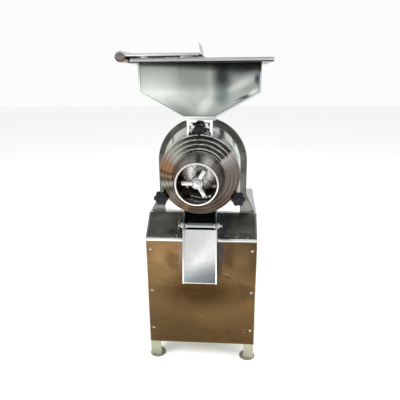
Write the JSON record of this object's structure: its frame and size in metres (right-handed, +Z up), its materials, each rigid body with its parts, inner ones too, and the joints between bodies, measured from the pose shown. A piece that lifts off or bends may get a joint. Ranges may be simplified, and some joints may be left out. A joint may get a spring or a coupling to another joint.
{
  "type": "hammer mill",
  "caption": "Upright stainless hammer mill on a box cabinet: hopper with sliding half lid, round grinding drum with turned front door, swing-hammer rotor, tilting discharge chute.",
  "frame": {"origin": "floor level, at the centre of the outer box in plan", "axes": "+Z up; the door, mouth and discharge chute face -Y; +X is to the viewer's right from the front; the rotor axis runs along Y"},
  "size_m": [0.4882, 0.6234, 1.156],
  "materials": {
    "leg_paint": "pale grey-green brushed paint, semi-matt",
    "foot_paint": "darker grey-green paint, matt",
    "side_steel": "polished stainless sheet",
    "front_steel": "mirror-polished stainless sheet with a warm tint",
    "rear_steel": "satin stainless sheet",
    "deck_steel": "dark polished stainless sheet",
    "arch_steel": "mirror-polished stainless sheet",
    "drum_steel": "polished stainless steel",
    "satin_steel": "satin stainless sheet, lightly dented",
    "tray_steel": "polished stainless sheet with rolled edges",
    "bright_steel": "bright machined steel",
    "turned_steel": "lathe-turned stainless steel with fine rings",
    "cast_iron": "machined cast iron",
    "motor_paint": "blue-grey enamel",
    "black_plastic": "black moulded plastic",
    "rubber": "black rubber"
  },
  "bodies": {
    "root": {"leg_front_left": "leg_paint", "leg_rear_left": "leg_paint", "leg_front_right": "leg_paint", "leg_rear_right": "leg_paint", "motor_platform": "leg_paint", "bearing_pedestal": "leg_paint", "foot_front_left": "foot_paint", "foot_rear_left": "foot_paint", "foot_front_right": "foot_paint", "foot_rear_right": "foot_paint", "left_panel": "side_steel", "right_panel": "side_steel", "hood": "side_steel", "front_panel": "front_steel", "rear_panel": "rear_steel", "deck": "deck_steel", "arch_plate": "arch_steel", "drum": "drum_steel", "neck": "drum_steel", "hopper": "satin_steel", "screen": "satin_steel", "discharge_throat": "satin_steel", "lid_rail_left": "satin_steel", "lid_rail_right": "satin_steel", "tray": "tray_steel", "stud_top": "bright_steel", "stud_left": "bright_steel", "stud_right": "bright_steel", "chute_bolt_left": "bright_steel", "chute_bolt_right": "bright_steel", "bearing_front": "cast_iron", "bearing_rear": "cast_iron", "liner": "cast_iron", "motor_body": "motor_paint", "motor_fan_cover": "motor_paint", "cable_gland": "black_plastic", "drive_belt": "rubber"},
    "rotor": {"rotor_shaft": "bright_steel", "rotor_carrier": "turned_steel", "rotor_pulley": "cast_iron", "feed_beater": "bright_steel", "hub_nut": "bright_steel", "hammer_pin_1": "bright_steel", "hammer_pin_2": "bright_steel", "hammer_pin_3": "bright_steel", "hammer_pin_4": "bright_steel"},
    "motor_rotor": {"motor_shaft": "bright_steel", "motor_pulley": "cast_iron"},
    "hammer_1": {"hammer_1": "turned_steel"},
    "hammer_2": {"hammer_2": "turned_steel"},
    "hammer_3": {"hammer_3": "turned_steel"},
    "hammer_4": {"hammer_4": "turned_steel"},
    "door": {"door": "turned_steel", "door_gasket": "rubber"},
    "knob_top": {"knob_top": "black_plastic"},
    "knob_left": {"knob_left": "black_plastic"},
    "knob_right": {"knob_right": "black_plastic"},
    "chute": {"chute": "satin_steel"},
    "lid": {"lid": "tray_steel", "lid_grip": "tray_steel"}
  },
  "joints": [
    {"name": "rotor_spin", "type": "hinge", "parent": "root", "child": "rotor", "pos_m": [0.01315, -0.11335, 0.736], "axis": [0, 1, 0], "continuous": true},
    {"name": "motor_spin", "type": "hinge", "parent": "root", "child": "motor_rotor", "pos_m": [0.01315, 0.20465, 0.2053], "axis": [0, 1, 0], "continuous": true},
    {"name": "hammer_1_swing", "type": "hinge", "parent": "rotor", "child": "hammer_1", "pos_m": [0.06265, -0.11365, 0.7855], "axis": [0, 1, 0], "continuous": true},
    {"name": "hammer_2_swing", "type": "hinge", "parent": "rotor", "child": "hammer_2", "pos_m": [-0.03635, -0.11365, 0.7855], "axis": [0, 1, 0], "continuous": true},
    {"name": "hammer_3_swing", "type": "hinge", "parent": "rotor", "child": "hammer_3", "pos_m": [-0.03635, -0.11365, 0.6865], "axis": [0, 1, 0], "continuous": true},
    {"name": "hammer_4_swing", "type": "hinge", "parent": "rotor", "child": "hammer_4", "pos_m": [0.06265, -0.11365, 0.6865], "axis": [0, 1, 0], "continuous": true},
    {"name": "door_pull", "type": "slide", "parent": "root", "child": "door", "axis": [0, -1, 0], "range_m": [0, 0.15]},
    {"name": "knob_top_turn", "type": "hinge", "parent": "door", "child": "knob_top", "pos_m": [0.01315, -0.19795, 0.887], "axis": [0, 1, 0], "continuous": true},
    {"name": "knob_left_turn", "type": "hinge", "parent": "door", "child": "knob_left", "pos_m": [-0.11628, -0.19795, 0.65823], "axis": [0, 1, 0], "continuous": true},
    {"name": "knob_right_turn", "type": "hinge", "parent": "door", "child": "knob_right", "pos_m": [0.14258, -0.19795, 0.65823], "axis": [0, 1, 0], "continuous": true},
    {"name": "chute_tilt", "type": "hinge", "parent": "root", "child": "chute", "pos_m": [0.01315, -0.17835, 0.556], "axis": [-1, 0, 0], "range_deg": [-15, 70]},
    {"name": "lid_slide", "type": "slide", "parent": "root", "child": "lid", "axis": [-1, 0, 0], "range_m": [0, 0.18]}
  ],
  "couplings": [
    {"joint": "motor_spin", "follows": "rotor_spin", "ratio": 0.75}
  ]
}
